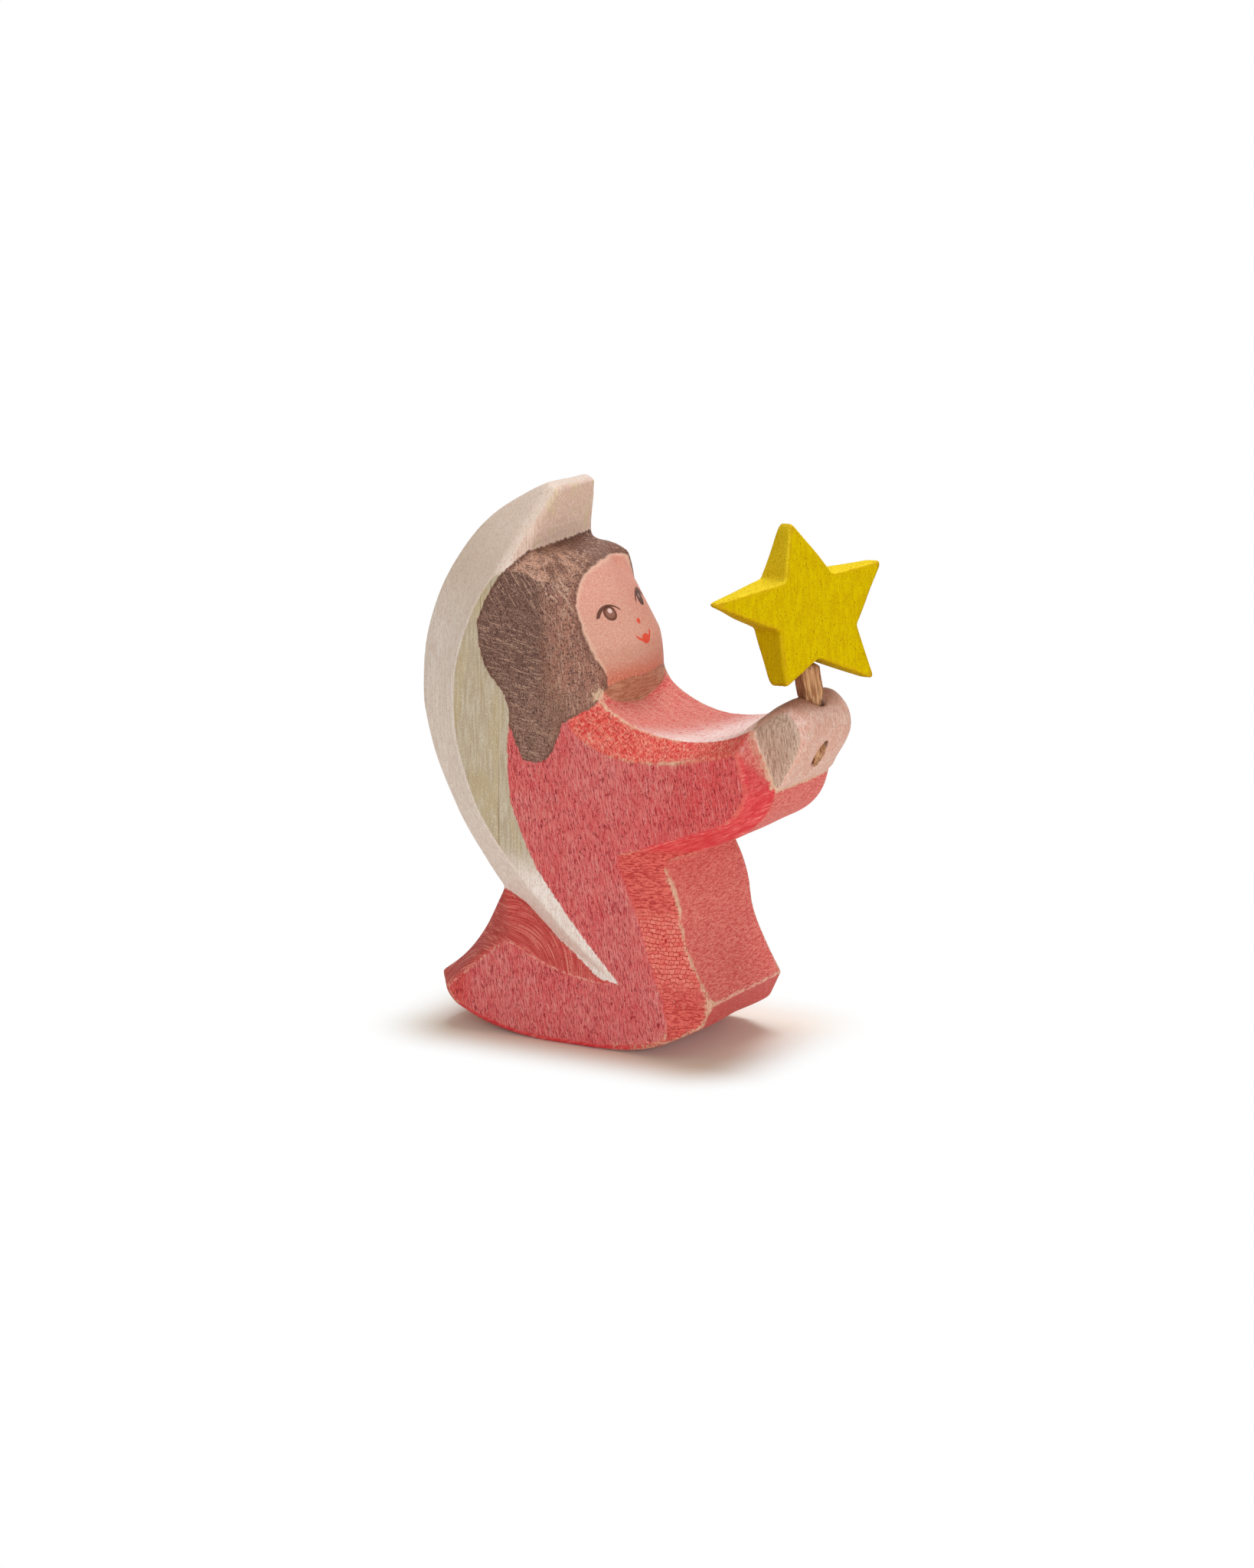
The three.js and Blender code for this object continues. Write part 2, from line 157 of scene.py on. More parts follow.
FILED_BEVELS = [("x", 30, 26), ("z", 37, 39)]
SLEEVE_SIDE = [("x", 8, 24), ("z", 28, 34)]
HEEL_SIDE = [("x", -15.5, -18), ("z", 14, 11)]
ARM_RIM = [("upward", 0.5, 0.85), ("z", 36, 40)]
# Where the painted sheen lies on the top of the arm
ARM_SHEEN = [("upward", 0.35, 0.7), ("z", 36, 40)]
SOLE = [("z", 9.5, 8)]
TOE = [("x", 17, 20)]

# Zones of the head, the wing, the hands, the star and the stick, written in the same way
HIGH_HAIR = [("z", 60, 67)]
HAIR_TAIL = [("z", 56, 49)]
HAIR_TOP = [("upward", 0.45, 0.75), ("z", 66, 68)]
# The near part of the hair's top, painted paler as worn wood and as a highlight
NEAR_HAIR = [("y", -1, -5), ("x", -10, -8)]
FOREHEAD = [("z", 61, 66)]
FAR_CHEEK = [("y", -2, 5)]
CHIN = [("z", 57.5, 54)]
BESIDE_THE_HAIR = [("z", 54.5, 56)]
WING_FLAT = [("flatness", 0.93, 0.985), ("z", 23, 30)]
WING_TOP = [("z", 58, 70)]
CREST_FRONT = [("forward", 0.45, 0.7), ("z", 69, 71)]
HAND_SIDES = [("flatness", 0.66, 0.82)]
# The top of the hands, painted darker as the shade that the star and stick cast on it
SHADED_HAND_TOP = [("upward", 0.5, 0.9)]
STAR_SIDES = [("facing", 0.8, 0.5)]
# Sides of the star that face up are painted lighter as if lit, and sides that face down darker as if shaded
LIT_FACING_UP = [("upward", -0.1, 0.3)]
SHADED_FACING_DOWN = [("upward", 0.1, -0.3)]
STICK_BACK = [("backward", 0.3, 0.7)]

# Where the edges are worn more, and where they keep their paint
WORN_ARM = [("z", 36, 39), ("x", -3, 0)]
WORN_KNEE = [("z", 33, 30), ("x", 5, 8)]
KEPT_HOLLOW = [("x", -6, -9), ("z", 24, 21), ("z", 5, 9)]
KEPT_SLEEVE = [("x", 19, 23), ("z", 35, 38)]

# The painted sheen on the top of the arm: its line leans across the board, and it fades in between two
# places
SHEEN_LEAN = -0.4
SHEEN_PLACES = (11, 21)

# The worn edge across the front of the sole
TOE_EDGE_HEIGHT = 8.7
TOE_EDGE_WIDTHS = (0.45, 0.1)

# How far the pores on the flat sides lean, in degrees, and how coarse all flecks are
SIDE_LEAN = -10
FLECK_SIZE = 1.15

# The strokes in the hollow behind the skirt: the middle of their arch, as (x, z), their width, and how
# many lie end to end in each radian
ARCH_CENTRE = (-13, 3)
STROKE_WIDTH = 0.13
STROKE_TURNS = 2.2

# The small bricks that cross cuts leave on the knee's bevel
BRICK_WIDTH = 1
BRICK_HEIGHT = 0.62
MORTAR_WIDTH = 0.09
MORTAR_BLUR = 0.9

# The places, along X, between which the hair changes from dark to light, and how ragged that change is
HAIR_CHANGE_PLACES = (-5.5, -1)
HAIR_CHANGE_RAG = 3

# The stick: where it enters the hands, its lean, the shoulder under the star and the foot, measured
# along it from there. The star faces a way that is turned from +X by so many degrees
GRIP_PLACE = (33.2, 0, 54.7)
STICK_LEAN = 10
SHOULDER_TOP = 4.5
SHOULDER_SLOPE = 0.7
SHOULDER_START = 2.4
SHOULDER_INNER = 1.15
FOOT_HEIGHTS = (-9, -6)
FOOT_REACH = 0.5
STAR_TURN = -35

# The painted face, as places on the front of the head, with y measured from the face's middle. The far
# eye has a thicker lid and a weaker pupil and glint
FACE_MIDDLE = 0.5
FACE_TILT = 0.055
LID_CENTRE = (4.7, 61.2)
LID_RADIUS = 3.1
LID_WIDTHS = (0.11, 0.26)
LID_INNER = 2.3
LID_OUTER = 7
LID_LOWEST = 62.9
IRIS_CENTRE = (4.75, 63.3)
IRIS_RADII = (1.22, 1.0)
PUPIL_RADII = (0.84, 0.66)
GLINT_CENTRE = (4.6, 63.62)
GLINT_RADII = (0.42, 0.32)
FAR_LID_SHARE = 1.6
FAR_PUPIL_SHARE = 0.3
NOSE_PLACE = (0.55, 61.1)
NOSE_RADII = (0.5, 0.38)
MOUTH_MIDDLE = 0.25
SMILE_HEIGHT = 58.5
SMILE_CURVE = 0.2
SMILE_WIDTH = 0.22
SMILE_REACH = 2.2
LIP_PLACE = (0.3, 58.7)
LIP_RADII = (1.1, 0.68)
BRUSH_BLUR = 0.06

# Sockets of Blender's Mix node when it mixes colours
MIX_SHARE = 0
MIX_FIRST = 6
MIX_SECOND = 7
MIX_RESULT = 2


def colour(red, green, blue):
    """A display colour from 0 to 255 as the linear colour that a shader takes."""
    linear = []
    for level in (red, green, blue):
        share = level / 255
        linear.append(share / 12.92 if share <= 0.04045 else ((share + 0.055) / 1.055) ** 2.4)
    return (*linear, 1)


# Carved meshes

def carved_copy(node, name, voxel):
    """A new object with an even mesh in the shape of a CAD node."""
    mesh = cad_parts[node].data.copy()
    weld = bmesh.new()
    weld.from_mesh(mesh)
    bmesh.ops.remove_doubles(weld, verts=weld.verts, dist=WELD_DISTANCE / MM_PER_METRE)
    weld.to_mesh(mesh)
    weld.free()
    piece = bpy.data.objects.new(name, mesh)
    bpy.context.scene.collection.objects.link(piece)
    remesh = piece.modifiers.new("even_mesh", "REMESH")
    remesh.mode = "VOXEL"
    remesh.voxel_size = voxel / MM_PER_METRE
    evaluated = piece.evaluated_get(bpy.context.evaluated_depsgraph_get())
    even = bpy.data.meshes.new_from_object(evaluated)
    piece.modifiers.clear()
    piece.data = even
    even.name = name
    even.materials.clear()
    even.polygons.foreach_set("use_smooth", [True] * len(even.polygons))
    return piece


def points_of(mesh):
    flat = np.empty(len(mesh.vertices) * 3)
    mesh.vertices.foreach_get("co", flat)
    return flat.reshape(-1, 3) * MM_PER_METRE


def set_points(mesh, points):
    mesh.vertices.foreach_set("co", (points / MM_PER_METRE).ravel())
    mesh.update()


def normals_of(mesh):
    flat = np.empty(len(mesh.vertices) * 3)
    mesh.vertex_normals.foreach_get("vector", flat)
    return flat.reshape(-1, 3)


def edges_of(mesh):
    ends = np.empty(len(mesh.edges) * 2, dtype=np.int32)
    mesh.edges.foreach_get("vertices", ends)
    return ends.reshape(-1, 2)


def smoothed(values, ends, rounds):
    """Each round moves every value half way to the mean of its neighbours."""
    values = values.copy()
    columns = values.reshape(len(values), -1)
    near, far = ends[:, 0], ends[:, 1]
    neighbours = np.bincount(ends.ravel(), minlength=len(columns))
    for _ in range(rounds):
        for column in columns.T:
            total = np.bincount(near, weights=column[far], minlength=len(column))
            total += np.bincount(far, weights=column[near], minlength=len(column))
            column += 0.5 * (total / neighbours - column)
    return values


def store(mesh, name, values):
    """Keeps one number for each vertex, for a material to read."""
    layer = mesh.attributes.new(name, "FLOAT", "POINT")
    layer.data.foreach_set("value", values.astype(np.float32))


def waves(points, length, height, seed):
    """Slow seeded unevenness, as a hand-guided saw and sandpaper leave it."""
    random = np.random.default_rng(seed)
    total = np.zeros(len(points))
    for _ in range(WAVE_COUNT):
        direction = random.normal(size=3)
        direction /= np.linalg.norm(direction)
        pitch = length * random.uniform(0.7, 1.5)
        total += np.sin(points @ direction * (2 * math.pi / pitch) + random.uniform(0, 2 * math.pi))
    return total * height / WAVE_COUNT ** 0.5


def soft_places(points):
    """How much each point of the figure is rounded further, from 0 to 1."""
    x, _, z = points.T
    crest = np.interp(z, CREST_SOFT_HEIGHTS, (0, CREST_SOFTNESS))
    hollow = np.interp(x, HOLLOW_SOFT_PLACES, (1, 0)) * np.interp(z, HOLLOW_SOFT_HEIGHTS, (0, 1, 1, 0))
    return np.maximum(crest, hollow)


def sand(piece, ends, rounds):
    """Rounds the edges of a piece."""
    points = smoothed(points_of(piece.data), ends, rounds)
    if piece.name == FIGURE_NAME:
        points += soft_places(points)[:, None] * (smoothed(points, ends, SOFT_SANDING) - points)
    set_points(piece.data, points)


def mark_edges(mesh, ends, reach):
    """Stores how far the wood stands out from its own average."""
    points = points_of(mesh)
    out = ((points - smoothed(points, ends, reach)) * normals_of(mesh)).sum(axis=1)
    store(mesh, "edge", smoothed(out, ends, EDGE_ROUNDS))


def roughen(mesh, length, height, seed):
    """Adds slight unevenness and keeps everything above the floor."""
    points = points_of(mesh)
    points += normals_of(mesh) * waves(points, length, height, seed)[:, None]
    points[:, 2] = np.maximum(points[:, 2], 0)
    set_points(mesh, points)


def inside_distance(points, outline):
    """How far each flat point lies inside a closed outline, negative outside it."""
    starts = np.array(outline, dtype=float)
    stops = np.roll(starts, -1, axis=0)
    nearest = np.full(len(points), np.inf)
    inside = np.zeros(len(points), dtype=bool)
    for start, stop in zip(starts, stops):
        along = stop - start
        share = np.clip((points - start) @ along / (along @ along), 0, 1)
        gap = points - start - share[:, None] * along
        nearest = np.minimum(nearest, np.hypot(gap[:, 0], gap[:, 1]))
        if along[1] != 0:
            crosses = (start[1] > points[:, 1]) != (stop[1] > points[:, 1])
            inside ^= crosses & (points[:, 0] < start[0] + (points[:, 1] - start[1]) * along[0] / along[1])
    return np.where(inside, nearest, -nearest)


def mark_paint(mesh, ends):
    """Stores how far each vertex of the figure lies inside each painted zone, and which way it faces."""
    points = points_of(mesh)
    normals = smoothed(normals_of(mesh), ends, DIRECTION_ROUNDS)
    across = np.abs(points[:, 1])
    side = points[:, [0, 2]]
    front = np.column_stack([across, points[:, 2]])
    far_share = np.interp(points[:, 2], FAR_HAIRLINE_HEIGHTS, FAR_HAIRLINE_SHARES)
    uneven_front = np.column_stack([across * np.where(points[:, 1] > 0, far_share, 1), points[:, 2]])
    behind_wing = [(x - HAIR_UNDER_WING, z) for x, z in HAIR_BACK_EDGE]
    wing = inside_distance(side, WING_FRONT_EDGE + WING_LOWER_EDGE + ROUND_THE_WING)
    head = inside_distance(side, behind_wing + HAIR_LOWER_EDGE + ROUND_THE_HEAD)
    face = np.minimum(inside_distance(uneven_front, HAIRLINE + CHIN_LINE), points[:, 0] - FACE_BACK)
    neck = np.minimum(inside_distance(front, CHIN_LINE[::-1] + COLLAR_LINE[::-1]), points[:, 0] - NECK_BACK)
    cuff = (side - CUFF_POINT) @ np.array(CUFF_DIRECTION)
    corner = np.column_stack([points[:, 0], across, points[:, 2]]) - COLLAR_CORNER
    store(mesh, "wing", wing)
    store(mesh, "head", head)
    store(mesh, "hair", np.minimum(head, -np.maximum(face, wing)))
    store(mesh, "face", face)
    store(mesh, "neck", neck)
    store(mesh, "hand", np.minimum(cuff, points[:, 0] - ARM_START))
    store(mesh, "collar_corner", COLLAR_CORNER_RADIUS - np.linalg.norm(corner, axis=1))
    store(mesh, "flatness", np.abs(normals[:, 1]))
    store(mesh, "upward", normals[:, 2])
    store(mesh, "forward", normals[:, 0])


# Node materials

class Nodes:
    """Short calls that add nodes to a tree. A value is a number, a colour or another node's output."""

    def __init__(self, tree):
        self.tree = tree

    def add(self, kind, **settings):
        node = self.tree.nodes.new(kind)
        for key, value in settings.items():
            setattr(node, key, value)
        return node

    def feed(self, socket, value):
        if isinstance(value, bpy.types.NodeSocket):
            self.tree.links.new(value, socket)
        else:
            socket.default_value = value

    def math(self, operation, *values):
        node = self.add("ShaderNodeMath", operation=operation)
        for socket, value in zip(node.inputs, values):
            self.feed(socket, value)
        return node.outputs[0]

    def product(self, *values):
        total = values[0]
        for value in values[1:]:
            total = self.math("MULTIPLY", total, value)
        return total

    def most(self, *values):
        total = values[0]
        for value in values[1:]:
            total = self.math("MAXIMUM", total, value)
        return total

    def outside(self, share):
        return self.math("SUBTRACT", 1, share)

    def gap(self, value, place):
        """How far a value is from a place, to either side."""
        return self.math("ABSOLUTE", self.math("SUBTRACT", value, place))

    def distance(self, across, along):
        square = self.math("ADD", self.product(across, across), self.product(along, along))
        return self.math("SQRT", square)

    def step(self, value, low, high):
        """0 below low, 1 above high and smooth between. With low above high it falls instead."""
        if low > high:
            return self.outside(self.step(value, high, low))
        node = self.add("ShaderNodeMapRange", interpolation_type="SMOOTHSTEP")
        self.feed(node.inputs["Value"], value)
        self.feed(node.inputs["From Min"], low)
        self.feed(node.inputs["From Max"], high)
        return node.outputs["Result"]

    def mix(self, share, first, second):
        node = self.add("ShaderNodeMix", data_type="RGBA")
        self.feed(node.inputs[MIX_SHARE], share)
        self.feed(node.inputs[MIX_FIRST], first)
        self.feed(node.inputs[MIX_SECOND], second)
        return node.outputs[MIX_RESULT]

    def seen(self):
        """1 for what the camera sees directly, in a mirror or through glass, and 0 for bounced light."""
        path = self.add("ShaderNodeLightPath").outputs
        return self.most(path["Is Camera Ray"], path["Is Glossy Ray"], path["Is Transmission Ray"])


class Stain(Nodes):
    """A material that is painted by the place on the piece, in mm."""

    def __init__(self, name):
        self.material = bpy.data.materials.new(name)
        self.material.use_nodes = True
        super().__init__(self.material.node_tree)
        self.place = self.add("ShaderNodeTexCoord").outputs["Object"]
        axes = self.add("ShaderNodeSeparateXYZ")
        self.feed(axes.inputs[0], self.place)
        self.x, self.y, self.z = [self.math("MULTIPLY", axis, MM_PER_METRE) for axis in axes.outputs]
        self.numbers = {"x": self.x, "y": self.y, "z": self.z, "aside": self.math("ABSOLUTE", self.y)}

    def number(self, name):
        """A coordinate, or a number that the mesh keeps for each vertex."""
        if name not in self.numbers:
            self.numbers[name] = self.add("ShaderNodeAttribute", attribute_name=name).outputs["Fac"]
        return self.numbers[name]

    def where(self, zone):
        """1 inside a zone and 0 outside it."""
        return self.product(*[self.step(self.number(name), low, high) for name, low, high in zone])

    def scale(self, value, low, high):
        """Spreads a share from 0 to 1 over the range from low to high."""
        return self.math("MULTIPLY_ADD", value, high - low, low)

    def joined(self, x, y, z):
        """A place made of three numbers."""
        node = self.add("ShaderNodeCombineXYZ")
        for socket, value in zip(node.inputs, (x, y, z)):
            self.feed(socket, value)
        return node.outputs[0]

    def noise(self, place, detail):
        node = self.add("ShaderNodeTexNoise")
        node.inputs["Scale"].default_value = 1
        node.inputs["Detail"].default_value = detail
        self.feed(node.inputs["Vector"], place)
        return node.outputs["Fac"]

    def grain(self, length, seed, detail=2.0, turn=0.0):
        """Noise about 0.5 whose lumps have these lengths along X, Y and Z, turned about Y."""
        lumps = self.add("ShaderNodeMapping", vector_type="TEXTURE")
        lumps.inputs["Location"].default_value = (seed * 0.137, seed * 0.071, seed * 0.093)
        lumps.inputs["Rotation"].default_value = (0, math.radians(turn), 0)
        lumps.inputs["Scale"].default_value = [side / MM_PER_METRE for side in length]
        self.feed(lumps.inputs["Vector"], self.place)
        return self.noise(lumps.outputs["Vector"], detail)

    def two_tone(self, noise, low, high, first, second):
        """The first colour where noise is below low, the second where it is above high."""
        return self.mix(self.step(noise, low, high), first, second)

    def lay(self, base, tint, *shares):
        """Lays a colour over a base, as thickly as the product of the shares."""
        return self.mix(self.product(*shares), base, tint)

    def flecked(self, base, tint, share, length, seed, low, high, turn=0.0):
        """Lays flecks of a colour over a base, where fine noise rises from low to high."""
        size = [FLECK_SIZE * side for side in length]
        return self.lay(base, tint, self.step(self.grain(size, seed, 1, turn), low, high), share)

    def finish(self, base, roughness, height, depth, gloss):
        """Joins the colour, roughness, relief of this depth and gloss to the shader."""
        shader = self.tree.nodes["Principled BSDF"].inputs
        bump = self.add("ShaderNodeBump")
        bump.inputs["Distance"].default_value = depth / MM_PER_METRE
        self.feed(bump.inputs["Height"], height)
        self.feed(shader["Base Color"], base)
        self.feed(shader["Roughness"], roughness)
        self.feed(shader["Normal"], bump.outputs["Normal"])
        shader["Specular IOR Level"].default_value = gloss
        return self.material


def wood_ground(stain):
    """Bare sanded wood: pale, with fine darker fibres up the board."""
    fibre = stain.grain((0.25, 0.25, 4), 1)
    return stain.two_tone(fibre, 0.35, 0.65, colour(204, 168, 136), colour(232, 204, 176))


def dress_stain(stain):
    """Red stain: flecked on the flat sides, filed or wiped on the bevels and saw-lined round the rim."""
    arm_top = stain.where(ARM_TOP)
    bevel = stain.product(stain.where(BEVELS), stain.outside(arm_top))
    rim = stain.most(stain.where(RIM), arm_top)
    painted = stain.mix(rim, flecked_side(stain), saw_lines(stain))
    bevels = stain.mix(stain.where(FILED_BEVELS), wiped_bevel(stain), hatching(stain))
    painted = stain.mix(bevel, painted, bevels)
    painted = stain.mix(stain.where(LOWER_BACK + HOLLOW_SLOPES), painted, hollow_strokes(stain))
    crumbs = stain.step(stain.grain((0.5, 0.5, 0.5), 79, 2), 0.42, 0.58)
    brim = stain.where(LOWER_BACK + HOLLOW_BRIM)
    painted = stain.lay(painted, colour(236, 178, 158), brim, crumbs, 0.6)
    return stain.mix(stain.product(bevel, stain.where(KNEE_STRIP)), painted, knee_bricks(stain))


def flecked_side(stain):
    """The flat sides, where the stain sits in short pores that lean a little back."""
    streak = stain.grain((0.2, 0.5, 1.6), 2, 3, SIDE_LEAN)
    cloud = stain.step(stain.grain((6, 8, 9), 3, 3), 0.42, 0.62)
    side = stain.two_tone(streak, 0.34, 0.66, colour(200, 76, 80), colour(224, 130, 126))
    side = stain.lay(side, colour(210, 66, 74), cloud, 0.35)
    side = stain.lay(side, colour(208, 60, 62), stain.where(SLEEVE_SIDE), 0.6)
    side = stain.lay(side, colour(206, 60, 54), stain.where(HEEL_SIDE), 0.7)
    side = stain.flecked(side, colour(230, 158, 154), 0.55, (0.13, 0.5, 3), 5, 0.57, 0.66, SIDE_LEAN)
    side = stain.flecked(side, colour(232, 164, 160), 0.4, (0.13, 0.13, 0.17), 25, 0.56, 0.68)
    side = stain.flecked(side, colour(150, 26, 42), 0.7, (0.15, 0.4, 0.65), 4, 0.585, 0.65, SIDE_LEAN)
    return stain.flecked(side, colour(116, 16, 30), 0.85, (0.16, 0.5, 0.55), 6, 0.655, 0.7, SIDE_LEAN)


def saw_lines(stain):
    """The rim, where the saw left fine dotted lines across the board, paler on the arm and with a painted
    sheen across its top.
    """
    saw = stain.grain((0.19, 1.1, 0.19), 8, 1)
    arm = stain.where(ARM_RIM)
    brushed = stain.step(stain.grain((5, 0.22, 2), 80, 2), 0.48, 0.62)
    lined = stain.two_tone(saw, 0.36, 0.64, colour(210, 88, 84), colour(230, 130, 120))
    lined = stain.lay(lined, colour(206, 130, 112), arm, stain.step(saw, 0.34, 0.6), 0.7)
    lined = stain.lay(lined, colour(236, 172, 156), arm, brushed, 0.4)
    lined = stain.flecked(lined, colour(164, 32, 40), 0.65, (0.14, 0.2, 0.14), 9, 0.59, 0.66)
    lined = stain.flecked(lined, colour(238, 176, 162), 0.5, (0.14, 0.3, 0.14), 19, 0.58, 0.68)
    # Painted sheen: a nearly white wedge across the top of the arm that fades in along it
    nearer = stain.math("MULTIPLY_ADD", stain.y, SHEEN_LEAN, stain.x)
    wear_and_sheen = stain.product(stain.where(ARM_SHEEN), stain.step(nearer, *SHEEN_PLACES))
    lined = stain.lay(lined, colour(248, 228, 222), wear_and_sheen, stain.step(saw, 0.24, 0.5), 0.9)
    lined = stain.lay(lined, colour(184, 58, 60), stain.where(SOLE), 0.5)
    toe_edge = stain.step(stain.gap(stain.z, TOE_EDGE_HEIGHT), *TOE_EDGE_WIDTHS)
    crumbs = stain.step(saw, 0.36, 0.56)
    return stain.lay(lined, colour(240, 196, 176), toe_edge, stain.where(TOE), crumbs, 0.65)


def hatching(stain):
    """The arm's bevel, where a coarse file left fine crossing scratches through the red."""
    blotch = stain.grain((0.4, 0.6, 0.7), 54, 2)
    red = stain.two_tone(blotch, 0.36, 0.64, colour(204, 60, 56), colour(228, 98, 86))
    for turn, seed in ((44, 50), (-38, 51), (-62, 52)):
        red = stain.flecked(red, colour(242, 180, 158), 0.45, (0.12, 0.8, 1), seed, 0.57, 0.66, turn)
    return stain.flecked(red, colour(158, 24, 34), 0.7, (0.17, 0.3, 0.3), 55, 0.6, 0.66)


def wiped_bevel(stain):
    """The bevels of the cuffs, the underarm and the sole, wiped thickly with long soft strokes."""
    stroke = stain.grain((2.4, 1.6, 0.3), 77, 2, -24)
    red = stain.two_tone(stroke, 0.38, 0.62, colour(212, 60, 66), colour(226, 88, 90))
    red = stain.lay(red, colour(242, 168, 156), stain.step(stroke, 0.62, 0.7), 0.4)
    return stain.flecked(red, colour(172, 28, 40), 0.5, (0.17, 0.3, 0.3), 78, 0.6, 0.67)


def hollow_strokes(stain):
    """The hollow behind the skirt: long thin strokes that arch over its lower end."""
    ahead = stain.math("SUBTRACT", stain.x, ARCH_CENTRE[0])
    above = stain.math("SUBTRACT", stain.z, ARCH_CENTRE[1])
    radius = stain.math("DIVIDE", stain.distance(ahead, above), STROKE_WIDTH)
    along = stain.product(stain.math("ARCTAN2", above, ahead), STROKE_TURNS)
    stroke = stain.noise(stain.joined(radius, along, stain.product(stain.y, 0.5)), 1)
    red = stain.two_tone(stroke, 0.36, 0.6, colour(192, 72, 70), colour(216, 104, 97))
    red = stain.lay(red, colour(240, 178, 160), stain.step(stroke, 0.6, 0.68), 0.45)
    return stain.flecked(red, colour(140, 22, 34), 0.6, (0.2, 0.3, 0.2), 58, 0.6, 0.68)


def knee_bricks(stain):
    """The knee's bevel, where cross cuts under thin stain look like small uneven bricks."""
    wobble = stain.grain((0.9, 0.9, 0.9), 10, 2)
    drift = stain.grain((4, 4, 4), 59)
    along = stain.math("SUBTRACT", stain.x, stain.number("aside"))
    along = stain.math("ADD", along, stain.scale(wobble, -0.8, 0.8))
    lift = stain.math("ADD", stain.scale(wobble, -0.32, 0.32), stain.scale(drift, -1, 1))
    brick = stain.add("ShaderNodeTexBrick")
    settings = {
        "Vector": stain.joined(along, stain.math("ADD", stain.z, lift), 0),
        "Color1": colour(234, 138, 124),
        "Color2": colour(224, 110, 100),
        "Mortar": colour(164, 22, 26),
        "Scale": 1,
        "Mortar Size": MORTAR_WIDTH,
        "Mortar Smooth": MORTAR_BLUR,
        "Brick Width": BRICK_WIDTH,
        "Row Height": BRICK_HEIGHT,
    }
    for name, value in settings.items():
        stain.feed(brick.inputs[name], value)
    patch = stain.step(stain.grain((1.6, 1.6, 1.2), 11, 3), 0.5, 0.6)
    rows = stain.lay(brick.outputs["Color"], colour(212, 76, 70), patch, 0.45)
    cuts = stain.grain((0.8, 0.8, 0.2), 60, 2)
    cuts = stain.two_tone(cuts, 0.38, 0.6, colour(178, 50, 50), colour(226, 108, 98))
    rows = stain.lay(rows, cuts, stain.most(stain.where(KNEE_TOP), stain.where(KNEE_FOOT)), 0.85)
    return stain.flecked(rows, colour(146, 20, 28), 0.5, (0.2, 0.3, 0.25), 61, 0.6, 0.68)


def hair_stain(stain):
    """Brown stain: darker behind, lighter before, paler on the near part of the top as worn wood and painted
    highlight, with dense pores and fine scratches.
    """
    mottle = stain.grain((1.4, 1.4, 3), 12, 3)
    ahead = stain.math("ADD", stain.x, stain.scale(mottle, -HAIR_CHANGE_RAG, HAIR_CHANGE_RAG))
    before = stain.step(ahead, *HAIR_CHANGE_PLACES)
    brown = stain.mix(before, colour(122, 90, 80), colour(162, 112, 94))
    brown = stain.lay(brown, colour(148, 112, 98), stain.where(HAIR_TAIL), 0.7)
    brown = stain.lay(brown, colour(98, 68, 60), stain.step(mottle, 0.42, 0.6), 0.35)
    brown = stain.lay(brown, colour(124, 84, 66), stain.where(HAIR_TOP))
    # Painted highlight on worn wood: the near part of the top of the hair is paler
    highlit_hair_top = stain.where(HAIR_TOP + NEAR_HAIR)
    brown = stain.lay(brown, colour(206, 158, 132), highlit_hair_top, stain.step(mottle, 0.34, 0.58), 0.8)
    brown = stain.flecked(brown, colour(190, 154, 136), 0.6, (0.13, 0.13, 0.17), 26, 0.54, 0.66)
    brown = stain.lay(brown, colour(198, 162, 142), hair_scratches(stain, before))
    brown = stain.flecked(brown, colour(58, 38, 36), 0.75, (0.13, 0.2, 0.34), 13, 0.56, 0.64, -12)
    return stain.flecked(brown, colour(66, 44, 42), 0.6, (0.5, 0.3, 0.14), 64, 0.58, 0.66, 8)


def hair_scratches(stain, before):
    """Fine scratches: level behind, upright before and slanting on the upper part."""
    high = stain.where(HIGH_HAIR)
    level = stain.step(stain.grain((2.6, 0.8, 0.18), 14, 1, 8), 0.55, 0.64)
    upright = stain.step(stain.grain((0.18, 0.8, 2.6), 62, 1, -6), 0.55, 0.65)
    slanting = stain.step(stain.grain((0.2, 0.8, 3.4), 63, 1, -36), 0.57, 0.64)
    return stain.most(
        stain.product(level, stain.outside(before), stain.outside(high), 0.6),
        stain.product(upright, before, 0.5),
        stain.product(slanting, high, 0.75))


def wing_stain(stain):
    """Off-white stain, thin and yellowish on the flat, denser and pinker on the bevels and the crest."""
    flat = stain.where(WING_FLAT)
    upright = stain.grain((0.2, 0.3, 5), 68, 2)
    facet = stain.two_tone(upright, 0.38, 0.62, colour(217, 183, 168), colour(233, 208, 194))
    facet = stain.flecked(facet, colour(214, 200, 156), 0.4, (1, 1.4, 8), 69, 0.52, 0.66)
    white = stain.mix(flat, wing_bevels(stain), wing_flats(stain))
    white = stain.lay(white, facet, stain.where(CREST_FRONT), stain.step(flat, 0.5, 0))
    white = stain.flecked(white, colour(168, 142, 118), 0.35, (0.15, 0.15, 0.24), 27, 0.56, 0.68)
    return stain.flecked(white, colour(244, 238, 228), 0.3, (0.15, 0.15, 0.22), 70, 0.57, 0.68)


def wing_bevels(stain):
    """The bevels of the wing, which darken a little towards the top."""
    fibre = stain.grain((0.3, 0.5, 9), 15, 3)
    bevelled = stain.two_tone(fibre, 0.35, 0.65, colour(236, 222, 216), colour(250, 241, 237))
    bevelled = stain.lay(bevelled, colour(221, 199, 180), stain.where(WING_TOP), 0.7)
    return stain.flecked(bevelled, colour(214, 172, 154), 0.5, (0.16, 0.3, 0.7), 65, 0.55, 0.68)


